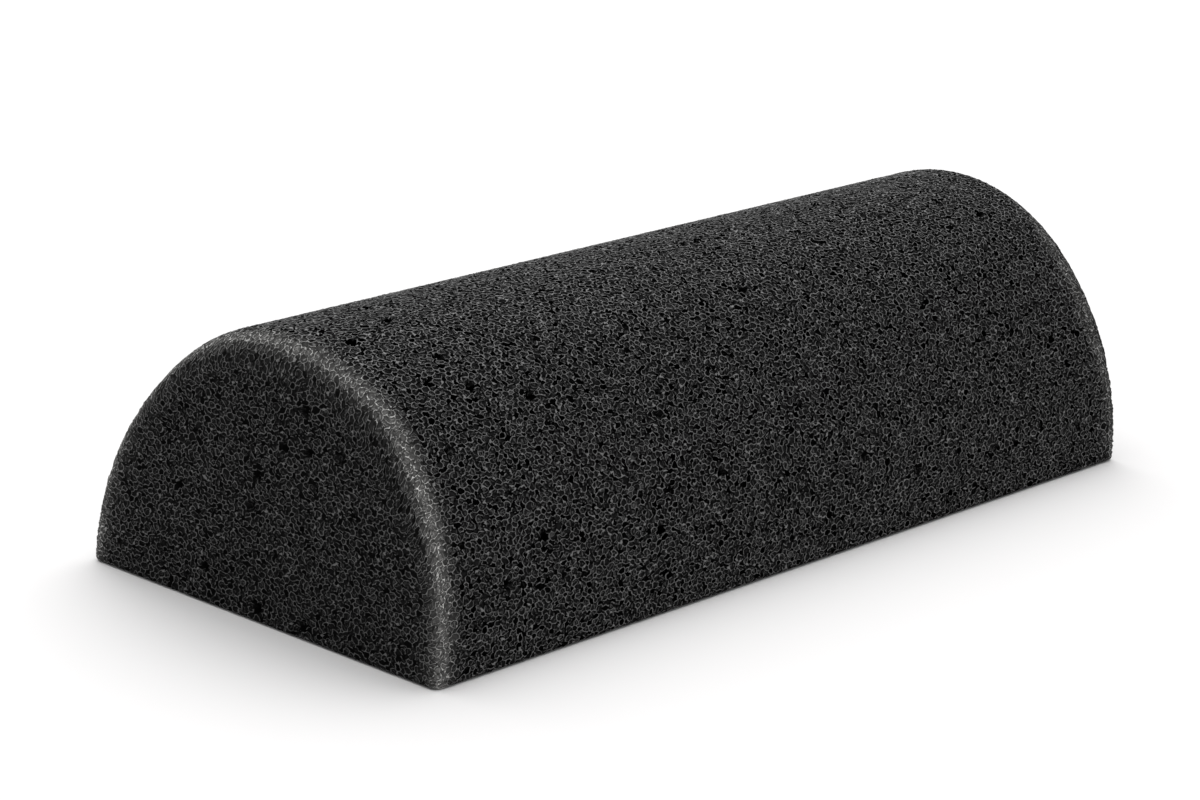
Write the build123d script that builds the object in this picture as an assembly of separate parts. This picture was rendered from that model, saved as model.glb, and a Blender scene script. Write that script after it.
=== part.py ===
from build123d import *

import os
from math import cos, pi, radians, sin, sqrt, tan
from random import Random

# Half-moon foam block: one piece of black open-cell foam that rests on its flat base.
# X runs along the block, Y across it and Z up. The origin is the middle of the base.
# Sizes are in millimetres and angles in degrees.

# Driving dimensions
length = 305.0            # from end face to end face
width = 124.0             # across the flat base
height = 77.0             # from the base to the crown of the arch
flank_turn = 45.0         # turn of each upright flank before the rounder crown takes over
crown_round = 9.0         # round of the arched end edges at the crown
base_round = 2.0          # the same round where it has narrowed, down at the base
round_steps = 7           # sections that turn each end from the arch to the end face

# Pits: open cells that stand out from the even grain, each a tapered pocket with flat walls
large_pit_radius = 1.7
small_pit_radius = 1.0
pit_depth = 2.2
pit_floor_share = 0.6     # size of a pit's floor against its mouth
pit_sides = 6
pit_margin = 4.0          # skin left between a pit and the base or a rounded edge
pit_spacing = 6.0         # least distance between the middles of two pits
arch_pits = 130
end_pits = 24             # on each end face
large_pit_share = 0.3
scatter_seed = 5

half_length = length / 2
half_width = width / 2
turn = radians(flank_turn)


def arch_arcs(half, rise):
    """Radius and middle of the flank arc, then of the crown arc, of a half-moon of this size."""
    lean = tan(turn / 2)
    crown_radius = (half - rise * lean) / (1 - lean)
    crown_middle = rise - crown_radius
    flank_radius = crown_radius + crown_middle / sin(turn)
    return flank_radius, half - flank_radius, crown_radius, crown_middle


def half_moon(x, half, rise):
    """Half-moon face across the block at x: two flank arcs, a crown arc and the flat base."""
    flank_radius, flank_middle, crown_radius, crown_middle = arch_arcs(half, rise)
    with BuildSketch(Plane.YZ.offset(x)) as section:
        with BuildLine():
            CenterArc((flank_middle, 0), flank_radius, 0, flank_turn)
            CenterArc((0, crown_middle), crown_radius, flank_turn, 180 - 2 * flank_turn)
            CenterArc((-flank_middle, 0), flank_radius, 180 - flank_turn, flank_turn)
            Line((-half, 0), (half, 0))
        make_face()
    return section.sketch


def inset_at(depth, radius):
    """How far an edge with this round has drawn in at this depth from the end face."""
    if depth >= radius:
        return 0.0
    return radius - sqrt(radius**2 - (radius - depth)**2)


def rounded_end(side):
    """End of the block, from the last full section out: its round narrows from crown to base."""
    sections = []
    for step in range(round_steps + 1):
        depth = crown_round * (1 - sin(pi / 2 * step / round_steps))
        half = half_width - inset_at(depth, base_round)
        rise = height - inset_at(depth, crown_round)
        sections.append(half_moon(side * (half_length - depth), half, rise))
    return loft(sections, ruled=True)


def block_body():
    """Half-moon drawn out along X between two rounded ends."""
    straight = half_length - crown_round
    middle = extrude(half_moon(-straight, half_width, height), 2 * straight)
    return middle + rounded_end(-1) + rounded_end(1)


def arch_point(angle, half, rise):
    """Place (y, z) on the half-moon outline of this size where its normal has this angle."""
    flank_radius, flank_middle, crown_radius, crown_middle = arch_arcs(half, rise)
    if angle < turn:
        return flank_middle + flank_radius * cos(angle), flank_radius * sin(angle)
    if angle > pi - turn:
        return -flank_middle + flank_radius * cos(angle), flank_radius * sin(angle)
    return crown_radius * cos(angle), crown_middle + crown_radius * sin(angle)


def pit_radius(draw):
    """Radius of one pit: most are small, a few are large, and none are quite alike."""
    if draw.random() < large_pit_share:
        return large_pit_radius * draw.uniform(0.8, 1.0)
    return small_pit_radius * draw.uniform(0.85, 1.15)


def spread(draw, count, place):
    """Draw mouths until count of them keep their spacing, and give each its radius."""
    found = []
    while len(found) < count:
        mouth = place(draw)
        if all((mouth.origin - other.origin).length > pit_spacing for other, _ in found):
            found.append((mouth, pit_radius(draw)))
    return found


def arch_mouth(draw):
    """A pit's mouth on the arched skin, facing out of it, clear of the ends and the base."""
    reach = half_length - crown_round - pit_margin
    low = pit_margin / height
    angle = draw.uniform(low, pi - low)
    spot = (draw.uniform(-reach, reach), *arch_point(angle, half_width, height))
    return Plane(origin=spot, z_dir=(0, cos(angle), sin(angle))).rotated((0, 0, draw.uniform(0, 90)))


def end_mouth(side):
    """A pit's mouth on one end face, facing out of it, clear of the rounded edge and the base."""
    edge = crown_round + pit_margin

    def place(draw):
        y, z = arch_point(draw.uniform(0, pi), half_width - edge, height - edge)
        share = draw.random() ** 0.5
        spot = (side * half_length, y * share, max(z * share, pit_margin))
        return Plane(origin=spot, z_dir=(side, 0, 0)).rotated((0, 0, draw.uniform(0, 90)))
    return place


def pocket(mouth, radius):
    """Tapered prism that cuts one pit: it starts as far outside its mouth as its floor lies inside."""
    flare = (1 - pit_floor_share) * radius
    floor = mouth.offset(-pit_depth) * RegularPolygon(radius - flare, pit_sides)
    top = mouth.offset(pit_depth) * RegularPolygon(radius + flare, pit_sides)
    return loft([floor, top])


draw = Random(scatter_seed)
pits = spread(draw, arch_pits, arch_mouth)
for side in (-1, 1):
    pits += spread(draw, end_pits, end_mouth(side))

block = block_body() - [pocket(mouth, radius) for mouth, radius in pits]
foam_block = block.solid()

os.makedirs("parts", exist_ok=True)
export_step(foam_block, "parts/foam_block.step")
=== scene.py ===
import math
import random

import bpy
import numpy as np
from mathutils import Matrix, Vector
from mathutils.geometry import delaunay_2d_cdt


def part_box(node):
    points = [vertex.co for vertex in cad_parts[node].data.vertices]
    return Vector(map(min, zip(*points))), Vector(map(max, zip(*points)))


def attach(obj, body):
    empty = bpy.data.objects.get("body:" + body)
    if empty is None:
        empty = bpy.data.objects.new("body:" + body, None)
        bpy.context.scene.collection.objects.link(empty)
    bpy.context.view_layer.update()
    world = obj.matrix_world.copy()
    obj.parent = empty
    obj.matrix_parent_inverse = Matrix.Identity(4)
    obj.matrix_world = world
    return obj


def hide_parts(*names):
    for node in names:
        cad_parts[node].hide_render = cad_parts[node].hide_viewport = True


# Looks of the half-moon foam block: a skin of open cells laid over the half-moon form. About one
# cell in three is a pore, which sinks straight from the struts round it to its floor. The others
# are loops, which round over an inner ring to a shallow floor. Places are in the frame of the
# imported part, and lengths are in metres unless a comment says otherwise.

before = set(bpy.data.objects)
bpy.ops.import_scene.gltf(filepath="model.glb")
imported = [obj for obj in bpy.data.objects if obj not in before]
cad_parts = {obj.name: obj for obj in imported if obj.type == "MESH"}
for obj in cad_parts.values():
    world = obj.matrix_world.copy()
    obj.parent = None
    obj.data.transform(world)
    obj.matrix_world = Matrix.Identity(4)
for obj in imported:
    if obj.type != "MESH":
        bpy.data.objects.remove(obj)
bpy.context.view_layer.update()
low_corner, high_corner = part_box("foam_block")

# Form of the block. The flank arcs meet the crown arc at TURN.
HALF_LENGTH = (high_corner.x - low_corner.x) / 2
HALF_WIDTH = (high_corner.y - low_corner.y) / 2
HEIGHT = high_corner.z - low_corner.z
CROWN_ROUND, BASE_ROUND, FOOT_ROUND = 0.009, 0.002, 0.0015
TURN = math.radians(45)

# Painted highlight along the rim, set pale in the foam's colour. Its middle runs at RIM_TURN round the end
# rounds
# and drifts from there: each pair is degrees up from the -Y base edge and millimetres toward the end face.
# It fades over one width toward the arch and another toward the end face, where a fainter painted glow goes
# on.
RIM_TURN = math.radians(16)
RIM_DRIFT = ((0, 0.0), (12, -1.0), (25, -3.0), (45, -2.9), (55, -1.0), (65, 1.0), (90, 3.2), (120, 1.3))
RIM_ON_ARCH, RIM_ON_END, GLOW_ON_END = 0.0025, 0.0020, 0.005
# The painted rim highlight is weaker at the crown and on the far end
RIM_STRENGTH, CROWN_LOSS, CROWN_POWER, FAR_SHARE, GLOW_STRENGTH = 0.92, 0.66, 6, 0.45, 0.12

# Cells. The stretches are along X on the arch and along Y on the end faces, and spacings and
# jitters are in cells.
SEED = 11
CELL = 0.00155
ARCH_STRETCH, END_STRETCH = 1.4, 1.2
EDGE_SPACING, EDGE_JITTER = 0.8, 0.2
JITTER, LOST_SHARE = 0.37, 0.02
PORE_SHARE, STRAY_SHARE, PORE_WEIGHT = 0.95, 0.01, 1.5

# How open cells are, and how deep their floors lie: the least, and what openness and pits add
OPEN_PORES, OPEN_LOOPS = 0.9, 0.006
OPEN_RANGE, SHUT_RANGE, RIM_SHUT = (0.85, 1.0), (0.0, 0.35), 0.8
LEAST_DEPTH, OPEN_DEPTH, PIT_DEPTH = 0.00012, 0.0006, 0.0013
FLOOR_RANGE = (0.7, 1.2)
RING_OPEN, RING_OPEN_GAIN = 0.45, 0.55

# Struts, from knot to knot and over into the inner ring of a loop. Knots wander in cells, and a
# strut curves in lengths of itself.
KNOT_WANDER, STRUT_CURVE = 0.05, 0.13
SINK, SINK_SPREAD, PIT_SAG = 0.00010, 0.00005, 0.0018
WALL, WALL_RANGE, WALL_GROWTH = 0.00045, (0.85, 1.15), 0.15
RING_RANGE, RING_SHARE, RING_SINK = (0.3, 0.9), 0.8, 0.00006

# Brightness of the wire along the struts, and of the floors of the smallest pores
BRIGHTNESS, BRIGHTNESS_SPREAD, BRIGHTNESS_RANGE = 0.95, 0.12, (0.6, 1.3)
FAINT_SHARE, FAINT = 0.26, 0.3
GLINT_SHARE, GLINT = 0.014, 3.2
# PIT_SHADE is painted shade on the wires in pits
PIT_SHADE, PORE_BRIGHTNESS = 0.9, 0.95

# Pits, as cut in the part. One shows in full from twice the radius PIT_LEAST, and always by PIT_MARK.
PIT_SEED = 5
ARCH_PITS, END_PITS = 130, 24
LARGE_PIT, SMALL_PIT, LARGE_SHARE = 0.0017, 0.0010, 0.3
LARGE_RANGE, SMALL_RANGE = (0.8, 1.0), (0.85, 1.15)
PIT_SPACING, PIT_MARGIN = 0.006, 0.004
PIT_LEAST, PIT_MARK = 0.0008, 0.1
PIT_EDGE, PIT_SLOPE = 0.95, 0.35

# Patterns of the foam's material: the scale of each, for a metre, and the detail of each noise
GRAIN, WOBBLE, SHINE, RIM_GLINT_NOISE = (2600, 3), (800, 1), (700, 1), (1400, 0)
CURL_SCALE, CURL_STEP, CURL_WIDTH, CURL_WOBBLE = 330, 0.0009, 0.0004, 0.0016
CURL_FADE, WIRE_FADE, RIM_HIGHLIGHT_GAP_FADE, RIM_GLINT_FADE = (0.2, 0.8), (0.62, 0.76), (0.30, 0.55), (0.6, 0.68)
WIRE_LEAST, WIRE_GAIN, CURL_SHARE, GRAIN_LEAST = 0.1, 0.8, 0.5, 0.5
SHINE_GAIN, SHINE_END_LOSS = 1.2, 1.1
CURL_RELIEF, GRAIN_RELIEF, BUMP_STRENGTH, BUMP_HEIGHT = 0.7, 0.3, 0.5, 0.0002

# Colours of the foam
# The deep colour is painted shade: in open holes, on the inner ring of each loop and along the foot of each
# wire
SHALLOW, DEEP_SHADE, WIRE = (0.0165, 0.0165, 0.0168, 1), (0.0003, 0.0003, 0.0003, 1), (0.168, 0.168, 0.168, 1)
# Painted shade on the end faces, mixed into their colour
END_PAINTED_SHADE, END_PAINTED_SHADE_SHARE = (0.0068, 0.0068, 0.0068, 1), 0.47
# Colours of the painted highlight along the rim, of its darker gaps and of its painted glints
RIM_HIGHLIGHT_SHALLOW, RIM_HIGHLIGHT_DEEP_SHADE = (0.2, 0.198, 0.193, 1), (0.03, 0.03, 0.029, 1)
RIM_HIGHLIGHT_WIRE, RIM_HIGHLIGHT_GAP, RIM_GLINT = (0.55, 0.545, 0.53, 1), (0.09, 0.089, 0.087, 1), (0.95, 0.95, 0.93, 1)
FOAM_ROUGHNESS, WIRE_GLOSS = 0.55, 0.35

# Studio
FLOOR_SIZE, FLOOR_COLOUR, FLOOR_ROUGHNESS = 12, (0.905, 0.898, 0.898, 1), 0.9
ROOM_LIGHT = 0.42
SKY_PLACE, SKY_STRENGTH, SKY_SPREAD = Vector((0.5, 0.66, 2.0)), 2.65, math.radians(80)

# Camera. Its lens and sensor are in millimetres.
AZIMUTH, ELEVATION, ROLL = math.radians(-51.19), math.radians(17.1), math.radians(4.492)
DISTANCE, TARGET = 19.852 * HALF_WIDTH, Vector((0.2389, 0.4478, 0.3514)) * HALF_WIDTH
LENS, SENSOR, CLIP_START, CLIP_END = 127.99, 36, 0.05, 20

TRIANGLE_LIMIT = 190000
rng = np.random.default_rng(SEED)


# ---------------------------------------------------------------- form

def arcs(half, rise):
    """Radius and middle of the flank arc, then of the crown arc, of a half-moon of this size."""
    lean = math.tan(TURN / 2)
    crown_radius = (half - rise * lean) / (1 - lean)
    crown_middle = rise - crown_radius
    flank_radius = crown_radius + crown_middle / math.sin(TURN)
    return flank_radius, half - flank_radius, crown_radius, crown_middle


FLANK_RADIUS, _, CROWN_RADIUS, _ = arcs(HALF_WIDTH, HEIGHT)
FLANK_GIRTH = FLANK_RADIUS * TURN
CROWN_GIRTH = CROWN_RADIUS * (math.pi - 2 * TURN)
GIRTH = 2 * FLANK_GIRTH + CROWN_GIRTH
REACH = (HALF_LENGTH + CROWN_ROUND * (math.pi / 2 - 1)) / ARCH_STRETCH


def outline(angle, half, rise):
    """(y, z) on the half-moon outline of this size where its normal has this angle."""
    flank_radius, flank_middle, crown_radius, crown_middle = arcs(half, rise)
    right, left = angle < TURN, angle > math.pi - TURN
    radius = np.where(right | left, flank_radius, crown_radius)
    y = np.where(right, flank_middle, np.where(left, -flank_middle, 0.0)) + radius * np.cos(angle)
    z = np.where(right | left, 0.0, crown_middle) + radius * np.sin(angle)
    return y, np.maximum(z, 0.0)


def angle_at(girth):
    """Normal angle of the outline after this length along it."""
    on_crown = TURN + (girth - FLANK_GIRTH) / CROWN_RADIUS
    on_left = math.pi - TURN + (girth - FLANK_GIRTH - CROWN_GIRTH) / FLANK_RADIUS
    return np.where(girth < FLANK_GIRTH, girth / FLANK_RADIUS,
                    np.where(girth < FLANK_GIRTH + CROWN_GIRTH, on_crown, on_left))


def end_round(angle):
    """Radius of the round on the end edges, which narrows from the crown to the base."""
    return BASE_ROUND + (CROWN_ROUND - BASE_ROUND) * np.sin(angle) ** 2


def inset_at(depth, radius):
    """How far an edge with this round has drawn in at this depth from the face that it meets."""
    return radius - np.sqrt(radius ** 2 - np.clip(radius - depth, 0, radius) ** 2)


def rim_middle(angle):
    """How far along the end round the middle of the painted rim highlight runs. It wanders from the arch at
    the -Y flank to the end face at the crown."""
    turns, drifts = zip(*RIM_DRIFT)
    drift = np.interp(np.degrees(math.pi - angle), turns, drifts) * 0.001
    return end_round(angle) * RIM_TURN + drift


def bell(value):
    """1 at zero, and less to both sides until it is near 0 at three."""
    return np.exp(-0.5 * value ** 2)


def rim_weight(places, past, normals):
    """How bright the painted highlight on the rim is at these places, from their distance past its middle.
    The crown and the far end get less of it, and a faint painted glow reaches into the end face."""
    highlight = RIM_STRENGTH - CROWN_LOSS * normals[:, 2] ** CROWN_POWER
    highlight = highlight * np.where(places[:, 0] > 0, FAR_SHARE, 1.0)
    band = bell(past / np.where(past < 0, RIM_ON_ARCH, RIM_ON_END))
    beside = (past > 0) * (1 - bell(past / RIM_ON_END))
    return highlight * (band + GLOW_STRENGTH * beside * bell(past / GLOW_ON_END))


def arch_skin(share, girth):
    """Points and normals of the arch and both rounds, unrolled to a share of the way to the end
    faces and a girth, and how far each point is past the middle of the painted rim highlight."""
    angle = angle_at(girth)
    radius = end_round(angle)
    straight = HALF_LENGTH - radius
    travel = np.abs(share) * (straight + radius * math.pi / 2)
    bend = np.clip((travel - straight) / radius, 0, math.pi / 2)
    x = np.minimum(travel, straight) + radius * np.sin(bend)
    depth = HALF_LENGTH - x
    y, z = outline(angle, HALF_WIDTH - inset_at(depth, BASE_ROUND), HEIGHT - inset_at(depth, CROWN_ROUND))
    side = np.sign(share)
    normals = np.stack([side * np.sin(bend), np.cos(bend) * np.cos(angle), np.cos(bend) * np.sin(angle)], 1)
    return np.stack([side * x, y, z], 1), normals, travel - straight - rim_middle(angle)


# ---------------------------------------------------------------- cells

def spaced(low, high):
    """Uneven places along a line, a little less than a cell apart, with both ends kept."""
    count = max(2, round((high - low) / (CELL * EDGE_SPACING)))
    places = np.linspace(low, high, count + 1)
    places[1:-1] += rng.uniform(-EDGE_JITTER, EDGE_JITTER, count - 1) * CELL * EDGE_SPACING
    return places


def scatter(low, high, inside):
    """Uneven cell middles inside a region, and which of them are pores: a jittered honeycomb with
    some cells taken out, where about one cell in three is a pore and pores seldom touch."""
    a = np.arange(low[0], high[0], CELL)
    b = np.arange(low[1], high[1], CELL * math.sqrt(3) / 2)
    column, row = np.meshgrid(np.arange(len(a)), np.arange(len(b)))
    points = np.stack([(a[column] + row % 2 * CELL / 2).ravel(), b[row].ravel()], 1)
    pore = ((column - row // 2 - row) % 3 == 0).ravel() & (rng.random(len(points)) < PORE_SHARE)
    pore |= rng.random(len(points)) < STRAY_SHARE
    points += rng.uniform(-JITTER, JITTER, points.shape) * CELL
    kept = inside(points) & (rng.random(len(points)) > LOST_SHARE)
    return points[kept], pore[kept]


def triangles(points):
    """Delaunay triangles of points in a plane, all wound anticlockwise. They are made in
    millimetres, and slivers are left out."""
    made = delaunay_2d_cdt([Vector(p) for p in points * 1000.0], [], [], 0, 1e-5)
    source = [ids[0] for ids in made[3]]
    tris = np.array([[source[v] for v in f] for f in made[2]])
    p, q, r = (points[tris[:, k]] for k in range(3))
    area = (q[:, 0] - p[:, 0]) * (r[:, 1] - p[:, 1]) - (q[:, 1] - p[:, 1]) * (r[:, 0] - p[:, 0])
    tris[area < 0] = tris[area < 0][:, ::-1]
    return tris[np.abs(area) > (CELL * 0.01) ** 2]


def arch_cells(across):
    """Cell middles on the unrolled arch and rounds, and which of them are pores. Those on the edges
    come first: both end edges, at the girths given, and then both base edges."""
    keep = CELL / 2
    along = spaced(-REACH, REACH)[1:-1]
    edges = np.concatenate([
        np.stack([np.full_like(across, -REACH), across], 1),
        np.stack([np.full_like(across, REACH), across], 1),
        np.stack([along, np.zeros_like(along)], 1),
        np.stack([along, np.full_like(along, GIRTH)], 1)])
    inner, pore = scatter((-REACH, 0.0), (REACH, GIRTH), lambda p: (
        (np.abs(p[:, 0]) < REACH - keep) & (p[:, 1] > keep) & (p[:, 1] < GIRTH - keep)))
    return np.concatenate([edges, inner]), np.concatenate([np.zeros(len(edges), bool), pore])


def end_cells(edge):
    """Cell middles on an end face within its edge, and which of them are pores. Those on the base
    edge come first."""
    keep = CELL / 2
    half_base = (HALF_WIDTH - BASE_ROUND) / END_STRETCH
    edge_slope = np.arctan2(edge[:, 1], edge[:, 0])
    edge_reach = np.hypot(edge[:, 0], edge[:, 1]) - keep

    def inside(p):
        limit = np.interp(np.arctan2(p[:, 1], p[:, 0]), edge_slope, edge_reach)
        return (np.hypot(p[:, 0], p[:, 1]) < limit) & (p[:, 1] > keep)

    base = spaced(-half_base, half_base)[1:-1]
    base = np.stack([base, np.zeros_like(base)], 1)
    inner, pore = scatter((-half_base, 0.0), (half_base, HEIGHT), inside)
    return np.concatenate([base, inner]), np.concatenate([np.zeros(len(base), bool), pore])


def cell_layout():
    """All cells on the block's skin: middles, normals, distances past the middle of the painted rim
    highlight and which of them are pores; then the triangles that join neighbours."""
    across = spaced(0.0, GIRTH)
    flat, pore = arch_cells(across)
    cells = [(*arch_skin(flat[:, 0] / REACH, flat[:, 1]), pore)]
    faces = [triangles(flat)[:, ::-1]]
    count = len(flat)

    angle = angle_at(across)
    stretch = np.array([END_STRETCH, 1.0])
    edge = np.stack(outline(angle, HALF_WIDTH - BASE_ROUND, HEIGHT - CROWN_ROUND), 1) / stretch
    edge_past = end_round(angle) * math.pi / 2 - rim_middle(angle)
    for side, first in ((-1, 0), (1, len(across))):
        flat, pore = end_cells(edge)
        names = np.concatenate([np.arange(first, first + len(edge)), np.arange(count, count + len(flat))])
        tris = names[triangles(np.concatenate([edge, flat]))]
        faces.append(tris if side > 0 else tris[:, ::-1])
        points = np.column_stack([np.full(len(flat), side * HALF_LENGTH), flat * stretch])
        normals = np.tile([float(side), 0.0, 0.0], (len(flat), 1))
        gaps = np.linalg.norm((flat[:, None] - edge[None]) * stretch, axis=2)
        cells.append((points, normals, edge_past[gaps.argmin(1)] + gaps.min(1), pore))
        count += len(flat)
    return (*[np.concatenate(values) for values in zip(*cells)], np.concatenate(faces))


def cell_rings(tris, count):
    """Struts, as the two cells on their sides and the triangles at their ends, and the ring round
    each cell: a knot for each triangle and a gate half-way along each strut between them. A strut
    whose second end is -1 meets the base, where the ring also passes its own cell, as -1 - cell."""
    after, strut_of, sides, ends = {}, {}, [], []
    for t, (a, b, c) in enumerate(tris.tolist()):
        for p, q, r in ((a, b, c), (b, c, a), (c, a, b)):
            after[(p, q)] = (t, r)
            key = (min(p, q), max(p, q))
            if key not in strut_of:
                strut_of[key] = len(sides)
                sides.append(key)
                ends.append([t, -1])
            else:
                ends[strut_of[key]][1] = t
    start = {}
    for p, q in after:
        if p not in start or (q, p) not in after:
            start[p] = q
    rings = []
    for p in range(count):
        q = start[p]
        ring = []
        while True:
            ring.append(len(tris) + strut_of[(min(p, q), max(p, q))])
            t, q = after.get((p, q), (-1, None))
            ring.append(t if t >= 0 else -1 - p)
            if t < 0 or q == start[p]:
                break
        rings.append(ring)
    return rings, np.array(sides), np.array(ends)


# ---------------------------------------------------------------- pits

def pits():
    """Middles and radii of the pits that stand out from the even grain. They are drawn as for the
    part, which also draws a turn for each; here that draw only keeps the same order."""
    draw = random.Random(PIT_SEED)
    found = []

    def radius():
        if draw.random() < LARGE_SHARE:
            return LARGE_PIT * draw.uniform(*LARGE_RANGE)
        return SMALL_PIT * draw.uniform(*SMALL_RANGE)

    def spread(count, place):
        kept = []
        while len(kept) < count:
            spot = place()
            if all((spot - other).length > PIT_SPACING for other, _ in kept):
                kept.append((spot, radius()))
        found.extend(kept)

    def on_arch():
        reach = HALF_LENGTH - CROWN_ROUND - PIT_MARGIN
        low = PIT_MARGIN / HEIGHT
        y, z = outline(draw.uniform(low, math.pi - low), HALF_WIDTH, HEIGHT)
        x = draw.uniform(-reach, reach)
        draw.uniform(0, 90)
        return Vector((x, float(y), float(z)))

    def on_end(side):
        edge = CROWN_ROUND + PIT_MARGIN
        y, z = outline(draw.uniform(0, math.pi), HALF_WIDTH - edge, HEIGHT - edge)
        share = draw.random() ** 0.5
        draw.uniform(0, 90)
        return Vector((side * HALF_LENGTH, float(y) * share, max(float(z) * share, PIT_MARGIN)))

    spread(ARCH_PITS, on_arch)
    spread(END_PITS, lambda: on_end(-1))
    spread(END_PITS, lambda: on_end(1))
    return found


def pit_marks(places, found):
    """How much each place belongs to a pit: 1 in the middle of a large one, 0 outside all."""
    marks = np.zeros(len(places))
    for spot, radius in found:
        gap = np.linalg.norm(places - np.array(spot), axis=1)
        within = np.clip((radius * PIT_EDGE - gap) / (radius * PIT_SLOPE), 0, 1)
        marks = np.maximum(marks, within * np.clip((radius - PIT_LEAST) / PIT_LEAST, PIT_MARK, 1))
    return marks


# ---------------------------------------------------------------- foam mesh

def unit(v):
    """These vectors at length one."""
    return v / np.maximum(np.linalg.norm(v, axis=1, keepdims=True), 1e-12)


def above_base(places):
    """These places, with those under the base plane moved up to it."""
    places[:, 2] = np.maximum(places[:, 2], 0.0)
    return places


def make_knots(points, normals, pore, tris):
    """Knots where three struts meet, set a little nearer to pores, and their normals."""
    weight = np.where(pore, PORE_WEIGHT, 1.0)
    shares = weight[tris] / weight[tris].sum(1, keepdims=True)
    knots = (points[tris] * shares[:, :, None]).sum(1)
    knot_normals = unit(normals[tris].sum(1))
    # aside runs along the skin, square to X, or to Y where the normal is close to X
    from_x = np.abs(knot_normals[:, :1]) < 0.8
    aside = unit(np.cross(knot_normals, np.where(from_x, [[1.0, 0, 0]], [[0, 1.0, 0]])))
    wander = rng.normal(0, KNOT_WANDER * CELL, (len(tris), 2))
    knots += aside * wander[:, :1] + np.cross(knot_normals, aside) * wander[:, 1:]
    return knots, knot_normals


def make_gates(points, normals, sides, ends, knots):
    """Gates half-way along the struts, moved aside so that struts curve, and their normals. The gate
    of a strut that meets the base lies there, half-way between the cells on its sides."""
    inner = ends[:, 1] >= 0
    from_knot, to_knot = knots[ends[:, 0]], knots[ends[:, 1]]
    gates = np.where(inner[:, None], (from_knot + to_knot) / 2, points[sides].mean(1))
    gate_normals = unit(normals[sides].sum(1))
    curve = rng.normal(0, STRUT_CURVE, len(sides))
    gates += np.cross(gate_normals, to_knot - from_knot) * (curve * inner)[:, None]
    return gates, gate_normals


def join_rings(rings, skin_count):
    """All rings in one flat list of ridge points, with each one's cell and the place in the list of
    the next one round. Cells that their own rings pass get ridge points after those of the skin."""
    lengths = np.array([len(r) for r in rings])
    corners = np.array([k for r in rings for k in r])
    own = corners < 0
    base_cells, base_index = np.unique(-1 - corners[own], return_inverse=True)
    corners[own] = skin_count + base_index
    owner = np.repeat(np.arange(len(rings)), lengths)
    starts = np.cumsum(lengths) - lengths
    following = np.arange(len(corners)) + 1
    following[starts + lengths - 1] = starts
    return corners, owner, following, base_cells


def measure_cells(ring, owner):
    """Middle and mean radius of each cell, and the arm from its middle to each point of its ring."""
    lengths = np.bincount(owner)
    middle, size = np.zeros((len(lengths), 3)), np.zeros(len(lengths))
    np.add.at(middle, owner, ring)
    middle /= lengths[:, None]
    arm = ring - middle[owner]
    arm_length = np.linalg.norm(arm, axis=1)
    np.add.at(size, owner, arm_length)
    size /= lengths
    return middle, size, arm, arm_length


def draw_openness(pore, rim, pit):
    """How open each cell is, from 0 for a film to 1 for a clear hole."""
    count = len(pore)
    opened = rng.random(count) < np.where(pore, OPEN_PORES, OPEN_LOOPS)
    openness = np.where(opened, rng.uniform(*OPEN_RANGE, count), rng.uniform(*SHUT_RANGE, count))
    # Pits are opened fully, so that they take the painted shade of holes
    return np.maximum(openness * (1 - RIM_SHUT * rim), pit)


def draw_brightness(knot_count, gate_count, pit):
    """How bright the wire is at each ridge point, where knots come first and gates next: faint at
    some gates, a painted glint at a few points and darkened by painted shade in pits."""
    bright = np.clip(rng.normal(BRIGHTNESS, BRIGHTNESS_SPREAD, len(pit)), *BRIGHTNESS_RANGE)
    gates = bright[knot_count:knot_count + gate_count]
    gates[rng.random(gate_count) < FAINT_SHARE] = FAINT
    bright[rng.random(len(pit)) < GLINT_SHARE] = GLINT
    return bright * (1 - PIT_SHADE * pit)


def make_struts(points, normals, past, pore, tris, sides, ends, found):
    """Points along all struts, knots first and then gates: their places, normals, distances past
    the middle of the painted rim highlight, shares in pits, and which are on the base. Struts sink a little
    and sag into pits, apart from where they meet the base."""
    knots, knot_normals = make_knots(points, normals, pore, tris)
    gates, gate_normals = make_gates(points, normals, sides, ends, knots)
    places = np.concatenate([knots, gates])
    facing = np.concatenate([knot_normals, gate_normals])
    strut_past = np.concatenate([past[tris].mean(1), past[sides].mean(1)])
    free = np.concatenate([np.ones(len(knots), bool), ends[:, 1] >= 0])
    places += facing * (rng.normal(-SINK, SINK_SPREAD, len(places)) * free)[:, None]
    in_pit = pit_marks(places, found)
    places = above_base(places - facing * (in_pit * free * PIT_SAG)[:, None])
    return places, facing, strut_past, in_pit, ~free


def sink_cells(ring, owner, normals, openness, pit):
    """Middles and sizes of the cells, from the ridge points round each, and the inner rings and
    floors that are sunk under them."""
    middle, size, arm, arm_length = measure_cells(ring, owner)
    depth = LEAST_DEPTH + OPEN_DEPTH * openness ** 2 + PIT_DEPTH * pit
    thick = WALL * rng.uniform(*WALL_RANGE, len(owner)) + WALL_GROWTH * (arm_length - size[owner])
    share = np.clip(1 - thick / np.maximum(arm_length, 1e-9), *RING_RANGE)
    inset = middle[owner] + arm * share[:, None]
    inset = above_base(inset - normals[owner] * (depth * RING_SHARE + RING_SINK)[owner, None])
    floor = above_base(middle - normals * (depth * rng.uniform(*FLOOR_RANGE, len(depth)))[:, None])
    return middle, size, inset, floor


def draw_in_foot(vertices, facing):
    """These vertices, moved in level round the foot, away from where they face."""
    level = facing * (1, 1, 0)
    return vertices - unit(level) * inset_at(vertices[:, 2], FOOT_ROUND)[:, None]


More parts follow.
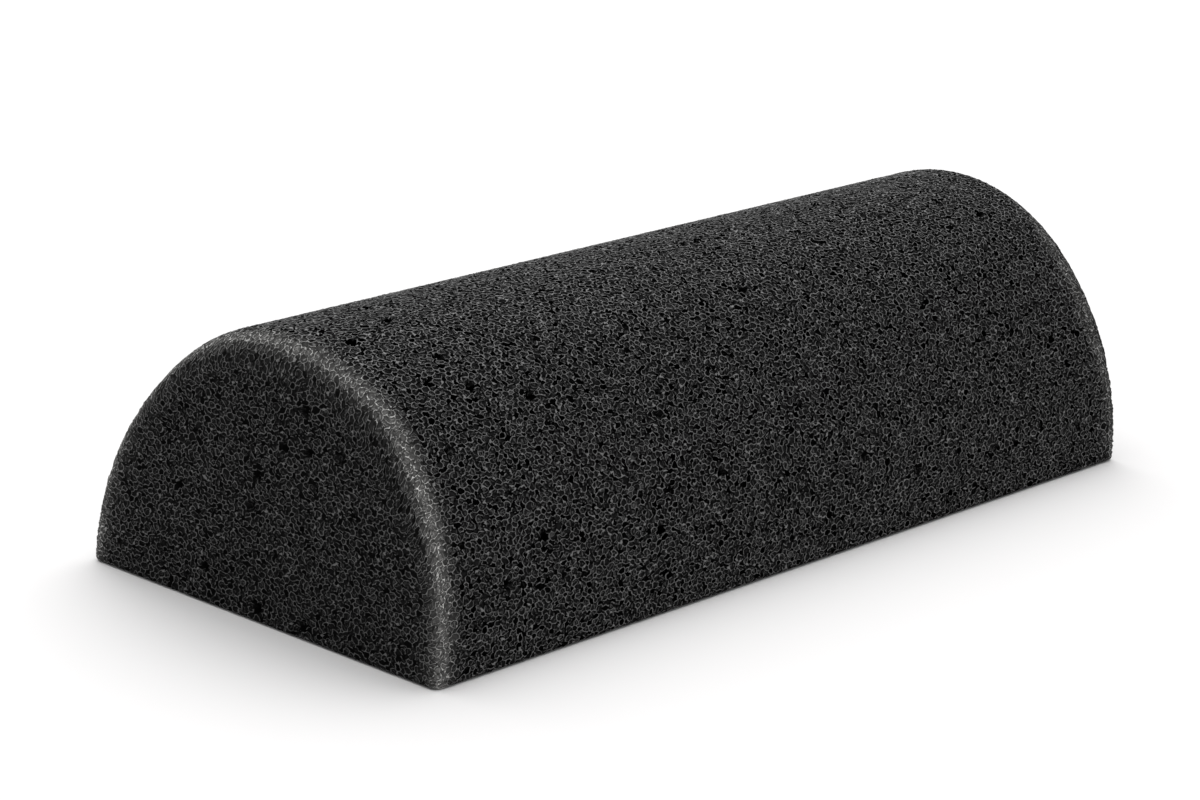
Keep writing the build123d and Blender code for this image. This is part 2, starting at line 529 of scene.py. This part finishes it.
def join_faces(corners, owner, following, in_loop, ridge_count):
    """Faces between vertices that are ridge points, then inner rings, then floors, with the cell of
    each face. A loop has walls from its ridge to its inner ring and a fan from there to its floor,
    and a pore has a fan from its ridge."""
    inset_id = ridge_count + np.arange(len(corners))
    floor_id = ridge_count + len(corners) + owner
    walls = np.stack([corners, corners[following], inset_id[following], inset_id], 1)[in_loop]
    fans = np.where(in_loop[:, None], np.stack([inset_id, inset_id[following], floor_id], 1),
                    np.stack([corners, corners[following], floor_id], 1))
    return [(walls, owner[in_loop]), (fans, owner)]


def build_foam():
    """The skin of open cells: its vertices, its faces with the cell of each, the cells' middles,
    the values that the material reads, and the edges on the base."""
    points, normals, past, pore, tris = cell_layout()
    rings, sides, ends = cell_rings(tris, len(points))
    found = pits()
    struts = make_struts(points, normals, past, pore, tris, sides, ends, found)
    corners, owner, following, base_cells = join_rings(rings, len(tris) + len(sides))
    at_base = (points[base_cells], normals[base_cells], past[base_cells],
               np.zeros(len(base_cells)), np.ones(len(base_cells), bool))
    ridge, ridge_normals, ridge_past, ridge_pit, on_base = map(np.concatenate, zip(struts, at_base))

    rim, pit = rim_weight(points, past, normals), pit_marks(points, found)
    openness = draw_openness(pore, rim, pit)
    middle, size, inset, floor = sink_cells(ridge[corners], owner, normals, openness, pit)
    vertices = draw_in_foot(np.concatenate([ridge, inset, floor]),
                            np.concatenate([ridge_normals, normals[owner], normals]))

    strut = draw_brightness(len(tris), len(sides), ridge_pit)
    pore_floor = np.where(pore, PORE_BRIGHTNESS * (1 - size / WALL), 0.0)
    ring_hole = RING_OPEN + RING_OPEN_GAIN * openness[owner]
    ridge_rim = rim_weight(ridge, ridge_past, ridge_normals)
    ridge_end, end = np.abs(ridge_normals[:, 0]), np.abs(normals[:, 0])
    attributes = {
        "strut": np.concatenate([strut, np.zeros(len(corners)), pore_floor]),
        # The hole value also paints shade: it is 1 along the ridge, so the foot of each wire turns dark, and
        # high on inner rings
        "hole": np.concatenate([np.ones(len(ridge)), ring_hole, openness]),
        # rim carries the painted highlight along the rim
        "rim": np.concatenate([ridge_rim, rim[owner], rim]),
        "end": np.concatenate([ridge_end, end[owner], end])}
    faces = join_faces(corners, owner, following, ~pore[owner], len(ridge))
    low = on_base[corners] & on_base[corners[following]]
    base_edges = np.stack([corners[low], corners[following][low]], 1)
    return vertices, faces, middle, attributes, base_edges


def make_piece(name, vertices, faces, attributes, material):
    """A mesh object of these faces, with the named value at each vertex."""
    used = np.unique(np.concatenate([f.ravel() for f in faces]))
    renamed = np.full(len(vertices), -1)
    renamed[used] = np.arange(len(used))
    mesh = bpy.data.meshes.new(name)
    sizes = np.concatenate([np.full(len(f), f.shape[1]) for f in faces])
    corners = np.concatenate([renamed[f].ravel() for f in faces])
    mesh.vertices.add(len(used))
    mesh.vertices.foreach_set("co", vertices[used].astype(np.float32).ravel())
    mesh.loops.add(len(corners))
    mesh.loops.foreach_set("vertex_index", corners.astype(np.int32))
    mesh.polygons.add(len(sizes))
    mesh.polygons.foreach_set("loop_start", (np.cumsum(sizes) - sizes).astype(np.int32))
    mesh.polygons.foreach_set("loop_total", sizes.astype(np.int32))
    mesh.update(calc_edges=True)
    for key, values in attributes.items():
        mesh.attributes.new(key, "FLOAT", "POINT").data.foreach_set("value", values[used].astype(np.float32))
    mesh.polygons.foreach_set("use_smooth", np.ones(len(sizes), bool))
    mesh.validate()
    mesh.materials.append(material)
    piece = bpy.data.objects.new(name, mesh)
    bpy.context.scene.collection.objects.link(piece)
    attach(piece, "root")
    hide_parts("foam_block")


# ---------------------------------------------------------------- materials

class Nodes:
    """Short ways to add nodes to a material's tree. A value is a socket, a number or a colour."""

    def __init__(self, tree):
        self.tree = tree
        self.place = self.add("ShaderNodeNewGeometry", {}).outputs["Position"]

    def feed(self, node, values):
        """Set or link these values at the node's inputs of these names or numbers."""
        for key, value in values.items():
            if isinstance(value, bpy.types.NodeSocket):
                self.tree.links.new(value, node.inputs[key])
            else:
                node.inputs[key].default_value = value
        return node

    def add(self, kind, values, **settings):
        node = self.tree.nodes.new(kind)
        for key, value in settings.items():
            setattr(node, key, value)
        return self.feed(node, values)

    def attribute(self, name):
        return self.add("ShaderNodeAttribute", {}, attribute_name=name).outputs["Fac"]

    def maths(self, operation, *values, clamp=False):
        node = self.add("ShaderNodeMath", dict(enumerate(values)), operation=operation, use_clamp=clamp)
        return node.outputs[0]

    def vector(self, operation, *values):
        return self.add("ShaderNodeVectorMath", dict(enumerate(values)), operation=operation).outputs[0]

    def fade(self, value, low, high):
        """0 under low, 1 over high and smooth between them."""
        values = {"Value": value, "From Min": low, "From Max": high}
        return self.add("ShaderNodeMapRange", values, interpolation_type="SMOOTHSTEP").outputs[0]

    def mix(self, factor, a, b):
        """Colour a where the factor is 0 and colour b where it is 1. A mix node takes colours at
        its inputs 6 and 7 and gives one out at 2."""
        return self.add("ShaderNodeMix", {0: factor, 6: a, 7: b}, data_type="RGBA").outputs[2]

    def noise(self, scale, detail):
        values = {"Vector": self.place, "Scale": scale, "Detail": detail}
        return self.add("ShaderNodeTexNoise", values)

    def swirls(self, scale, step, width, spot):
        """Thin lines a step apart that run round the middles of an uneven scatter, from 0 to 1."""
        node = self.add("ShaderNodeTexVoronoi", {"Vector": spot, "Scale": scale})
        turn = self.maths("FRACT", self.maths("DIVIDE", node.outputs["Distance"], step * scale))
        off = self.maths("ABSOLUTE", self.maths("SUBTRACT", turn, 0.5))
        return self.maths("SUBTRACT", 1.0, self.maths("MULTIPLY", off, 2 * step / width), clamp=True)


def new_material(name, roughness):
    """A new material and its shader."""
    material = bpy.data.materials.new(name)
    material.use_nodes = True
    shader = material.node_tree.nodes["Principled BSDF"]
    shader.inputs["Roughness"].default_value = roughness
    return material, shader


def curls(nodes, wobble):
    """Fine curled lines all over the foam, from 0 to 1."""
    swirl = nodes.vector("SUBTRACT", wobble.outputs["Color"], (0.5, 0.5, 0.5))
    shift = nodes.vector("MULTIPLY", swirl, (CURL_WOBBLE, CURL_WOBBLE, CURL_WOBBLE))
    spot = nodes.vector("ADD", nodes.place, shift)
    return nodes.fade(nodes.swirls(CURL_SCALE, CURL_STEP, CURL_WIDTH, spot), *CURL_FADE)


def foam_lines(nodes, strut, hole, end, curl, grain):
    """How much each spot is wire: along the struts, and fainter along the curls in shallow cells.
    Wires shine unevenly, less so on the end faces."""
    maths = nodes.maths
    bright = maths("ADD", WIRE_LEAST, maths("MULTIPLY", strut, WIRE_GAIN))
    line = maths("MULTIPLY", nodes.fade(strut, *WIRE_FADE), bright)
    shallow = maths("SUBTRACT", CURL_SHARE, maths("MULTIPLY", hole, CURL_SHARE))
    line = maths("MAXIMUM", line, maths("MULTIPLY", curl, shallow))
    uneven = maths("SUBTRACT", nodes.noise(*SHINE).outputs["Fac"], 0.5)
    gain = maths("SUBTRACT", SHINE_GAIN, maths("MULTIPLY", end, SHINE_END_LOSS))
    line = maths("MULTIPLY", line, maths("ADD", maths("MULTIPLY", uneven, gain), 1.0))
    return maths("MULTIPLY", line, maths("ADD", GRAIN_LEAST, grain))


def foam_colour(nodes, hole, rim, end, line, wobble):
    """Dark foam with painted shade in holes and on the end faces, and along the rim a pale painted
    highlight, with darker gaps in spots and painted glints on its wires.
    """
    maths, mix, fade = nodes.maths, nodes.mix, nodes.fade
    # Holes, inner rings and the foot of each wire are painted dark as shade
    dark = mix(line, mix(hole, SHALLOW, DEEP_SHADE), WIRE)
    # Painted shade darkens the end faces
    dark = mix(maths("MULTIPLY", end, END_PAINTED_SHADE_SHARE), dark, END_PAINTED_SHADE)
    # A painted highlight along the rim, pale in the colour
    pale = mix(line, mix(hole, RIM_HIGHLIGHT_SHALLOW, RIM_HIGHLIGHT_DEEP_SHADE), RIM_HIGHLIGHT_WIRE)
    # Darker gaps in spots break up the painted rim highlight
    pale = mix(fade(wobble.outputs["Fac"], *RIM_HIGHLIGHT_GAP_FADE), RIM_HIGHLIGHT_GAP, pale)
    # Painted glints on the wires of the rim highlight
    rim_glint = fade(nodes.noise(*RIM_GLINT_NOISE).outputs["Fac"], *RIM_GLINT_FADE)
    pale = mix(maths("MULTIPLY", rim_glint, line), pale, RIM_GLINT)
    return mix(rim, dark, pale)


def foam_material():
    """The foam, from four values at each vertex: how much it is strut, hole, painted rim highlight and end.
    """
    material, shader = new_material("black_foam", FOAM_ROUGHNESS)
    nodes = Nodes(material.node_tree)
    maths = nodes.maths
    strut, hole, rim, end = [nodes.attribute(name) for name in ("strut", "hole", "rim", "end")]
    grain = nodes.noise(*GRAIN).outputs["Fac"]
    wobble = nodes.noise(*WOBBLE)
    curl = curls(nodes, wobble)
    line = foam_lines(nodes, strut, hole, end, curl, grain)
    height = maths("ADD", maths("MULTIPLY", curl, CURL_RELIEF), maths("MULTIPLY", grain, GRAIN_RELIEF))
    relief = {"Strength": BUMP_STRENGTH, "Distance": BUMP_HEIGHT, "Height": height}
    nodes.feed(shader, {
        "Base Color": foam_colour(nodes, hole, rim, end, line, wobble),
        "Specular IOR Level": maths("MULTIPLY", line, WIRE_GLOSS, clamp=True),
        "Normal": nodes.add("ShaderNodeBump", relief).outputs[0]})
    return material


def floor_material():
    material, shader = new_material("floor_white", FLOOR_ROUGHNESS)
    shader.inputs["Base Color"].default_value = FLOOR_COLOUR
    shader.inputs["Specular IOR Level"].default_value = 0.0
    return material


# ---------------------------------------------------------------- studio

def make_floor():
    bpy.ops.mesh.primitive_plane_add(size=FLOOR_SIZE, location=(0, 0, 0))
    floor = bpy.context.object
    floor.name = "floor"
    floor.data.materials.append(floor_material())


def make_lights():
    """An even white room and one wide, soft light from behind and above."""
    world = bpy.data.worlds.new("studio")
    world.use_nodes = True
    background = world.node_tree.nodes["Background"]
    background.inputs["Color"].default_value = (1, 1, 1, 1)
    background.inputs["Strength"].default_value = ROOM_LIGHT
    bpy.context.scene.world = world
    sky = bpy.data.lights.new("sky_soft", "SUN")
    sky.energy = SKY_STRENGTH
    sky.angle = SKY_SPREAD
    holder = bpy.data.objects.new("sky_soft", sky)
    holder.location = SKY_PLACE
    holder.rotation_euler = (-SKY_PLACE).to_track_quat("-Z", "Y").to_euler()
    bpy.context.scene.collection.objects.link(holder)
    bpy.context.scene.view_settings.view_transform = "Standard"


def make_camera():
    """The view from above the -X end and the -Y flank, slightly rolled."""
    back = Vector((math.sin(AZIMUTH) * math.cos(ELEVATION), -math.cos(AZIMUTH) * math.cos(ELEVATION),
                   math.sin(ELEVATION)))
    right = (-back).cross(Vector((0, 0, 1))).normalized()
    up = right.cross(-back)
    tilted_right = right * math.cos(ROLL) + up * math.sin(ROLL)
    tilted_up = up * math.cos(ROLL) - right * math.sin(ROLL)
    turn = Matrix((tilted_right, tilted_up, back)).transposed()
    camera = bpy.data.cameras.new("camera")
    camera.sensor_width = SENSOR
    camera.lens = LENS
    camera.clip_start, camera.clip_end = CLIP_START, CLIP_END
    holder = bpy.data.objects.new("camera", camera)
    holder.matrix_world = Matrix.Translation(TARGET + back * DISTANCE) @ turn.to_4x4()
    bpy.context.scene.collection.objects.link(holder)
    bpy.context.scene.camera = holder


# ---------------------------------------------------------------- assembly

def split_along_x(cell_faces, middle):
    """A piece number for each cell, so that pieces follow each other along X with about as many
    triangles each, and how many pieces there are."""
    load = sum(np.bincount(owner, minlength=len(middle)) * (f.shape[1] - 2) for f, owner in cell_faces)
    order = np.argsort(middle[:, 0], kind="stable")
    total = np.cumsum(load[order])
    parts = math.ceil(total[-1] / TRIANGLE_LIMIT)
    group = np.empty(len(middle), int)
    group[order] = np.minimum(total * parts // total[-1], parts - 1)
    return group, parts


def base_face(base_edges):
    """The flat base as one face, from the edges round it."""
    following = dict(base_edges.tolist())
    loop = [int(base_edges[0, 0])]
    while following[loop[-1]] != loop[0]:
        loop.append(following[loop[-1]])
    return np.array([loop[::-1]])


def make_foam():
    """The foam in pieces along X, each under the limit of triangles, and its flat base, where the
    material reads zero for every value."""
    vertices, cell_faces, middle, attributes, base_edges = build_foam()
    material = foam_material()
    group, parts = split_along_x(cell_faces, middle)
    for k in range(parts):
        faces = [f[group[owner] == k] for f, owner in cell_faces]
        make_piece(f"foam_skin_{k + 1}", vertices, faces, attributes, material)
    plain = {key: np.zeros(len(vertices)) for key in attributes}
    make_piece("foam_base", vertices, [base_face(base_edges)], plain, material)


make_camera()
make_lights()
make_floor()
make_foam()
